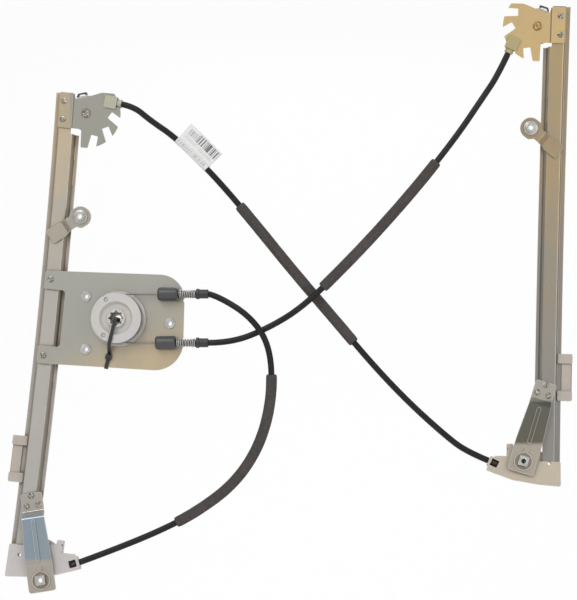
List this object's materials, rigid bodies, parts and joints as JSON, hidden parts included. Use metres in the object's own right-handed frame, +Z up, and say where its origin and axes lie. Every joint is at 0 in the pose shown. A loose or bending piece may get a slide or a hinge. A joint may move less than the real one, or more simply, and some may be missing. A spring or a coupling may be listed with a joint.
{
  "type": "window regulator",
  "caption": "Cable window regulator without its motor: curved top-hat rails with plastic sliders, slotted pulley brackets, a drum plate and crossing black conduits.",
  "frame": {"origin": "on the drum's axis, at the front face of the drum plate", "axes": "+X across the door towards the second rail, +Y into the door away from the drum's side, +Z up"},
  "size_m": [0.5923, 0.0452, 0.6135],
  "materials": {
    "zinc_grey": "yellow-passivated zinc, greyish",
    "zinc_gold": "yellow-passivated zinc, golden",
    "zinc_blue": "clear zinc, bluish",
    "zinc_dark": "dark zinc",
    "steel": "bright steel",
    "wire": "stranded wire",
    "black_plastic": "matte",
    "white_plastic": "satin, off-white",
    "slider_plastic": "satin, off-white",
    "natural_plastic": "milky, beige-green",
    "drum_plastic": "milky",
    "ferrule_plastic": "satin, slate grey",
    "conduit": "satin black",
    "foam": "closed-cell foam, olive grey",
    "paper": "paper"
  },
  "bodies": {
    "frame": {"left_rail": "zinc_grey", "left_top_bracket": "zinc_grey", "left_top_axle": "steel", "left_cable_keeper": "black_plastic", "left_top_fitting": "natural_plastic", "left_low_bracket": "white_plastic", "left_low_axle": "steel", "left_low_strap": "zinc_blue", "left_low_nut": "steel", "left_tab": "zinc_grey", "left_tab_nut": "steel", "left_rail_cable": "wire", "right_rail": "zinc_grey", "right_top_bracket": "zinc_gold", "right_top_axle": "steel", "right_cable_keeper": "black_plastic", "right_top_fitting": "natural_plastic", "right_low_bracket": "white_plastic", "right_low_axle": "steel", "right_low_strap": "zinc_dark", "right_low_nut": "steel", "right_tab": "zinc_grey", "right_tab_nut": "steel", "right_rail_cable": "wire", "drum_plate": "zinc_gold", "motor_inserts": "steel", "drum_cable_runs": "wire", "upper_ferrule": "ferrule_plastic", "upper_spring": "steel", "upper_cap": "ferrule_plastic", "lower_ferrule": "ferrule_plastic", "lower_spring": "steel", "lower_cap": "ferrule_plastic", "bracket_rivets": "steel", "strap_rivets": "steel", "plate_rivets": "steel", "conduit_a": "conduit", "sleeve_a": "foam", "conduit_b": "conduit", "sleeve_b": "foam", "conduit_c": "conduit", "sleeve_c": "foam", "label_tag": "paper", "cable_tie": "black_plastic"},
    "drum": {"cable_drum": "drum_plastic", "drum_cable": "wire", "cable_ends": "steel"},
    "left_slider": {"left_carriage": "slider_plastic", "left_cable_stop": "steel"},
    "right_slider": {"right_carriage": "slider_plastic", "right_cable_stop": "steel"},
    "left_top_wheel": {"left_top_pulley": "white_plastic"},
    "left_low_wheel": {"left_low_pulley": "white_plastic"},
    "right_top_wheel": {"right_top_pulley": "white_plastic"},
    "right_low_wheel": {"right_low_pulley": "white_plastic"}
  },
  "joints": [
    {"name": "drum_spin", "type": "hinge", "parent": "frame", "child": "drum", "pos_m": [0, 0, 0], "axis": [0, 1, 0], "range_deg": [-101.1, 685.3]},
    {"name": "left_slide", "type": "hinge", "parent": "frame", "child": "left_slider", "pos_m": [-0.0745, -1.79739, 0], "axis": [0.9954, 0, -0.0958], "range_deg": [-1.44, 9.7]},
    {"name": "left_top_pulley_spin", "type": "hinge", "parent": "frame", "child": "left_top_wheel", "pos_m": [-0.03265, -0.00688, 0.2155], "axis": [0.0116, 0.9926, 0.1206], "range_deg": [-156.75, 1059.6]},
    {"name": "left_low_pulley_spin", "type": "hinge", "parent": "frame", "child": "left_low_wheel", "pos_m": [-0.07729, -0.01062, -0.24812], "axis": [-0.0131, 0.9906, -0.1364], "range_deg": [-156.75, 1059.6]},
    {"name": "right_slide", "type": "hinge", "parent": "frame", "child": "right_slider", "pos_m": [0.4547, -1.79739, 0.088], "axis": [0.9997, 0, -0.0262], "range_deg": [-1.44, 9.7]},
    {"name": "right_top_pulley_spin", "type": "hinge", "parent": "frame", "child": "right_top_wheel", "pos_m": [0.43937, -0.00662, 0.30491], "axis": [0.0031, 0.9928, 0.1199], "range_deg": [-1059.6, 156.75]},
    {"name": "right_low_pulley_spin", "type": "hinge", "parent": "frame", "child": "right_low_wheel", "pos_m": [0.42746, -0.00944, -0.14997], "axis": [-0.0035, 0.9912, -0.1322], "range_deg": [-1059.6, 156.75]}
  ],
  "couplings": [
    {"joint": "left_slide", "follows": "drum_spin", "ratio": 0.014135},
    {"joint": "left_top_pulley_spin", "follows": "drum_spin", "ratio": 1.5455},
    {"joint": "left_low_pulley_spin", "follows": "drum_spin", "ratio": 1.5455},
    {"joint": "right_slide", "follows": "drum_spin", "ratio": 0.014135},
    {"joint": "right_top_pulley_spin", "follows": "drum_spin", "ratio": -1.5455},
    {"joint": "right_low_pulley_spin", "follows": "drum_spin", "ratio": -1.5455}
  ]
}
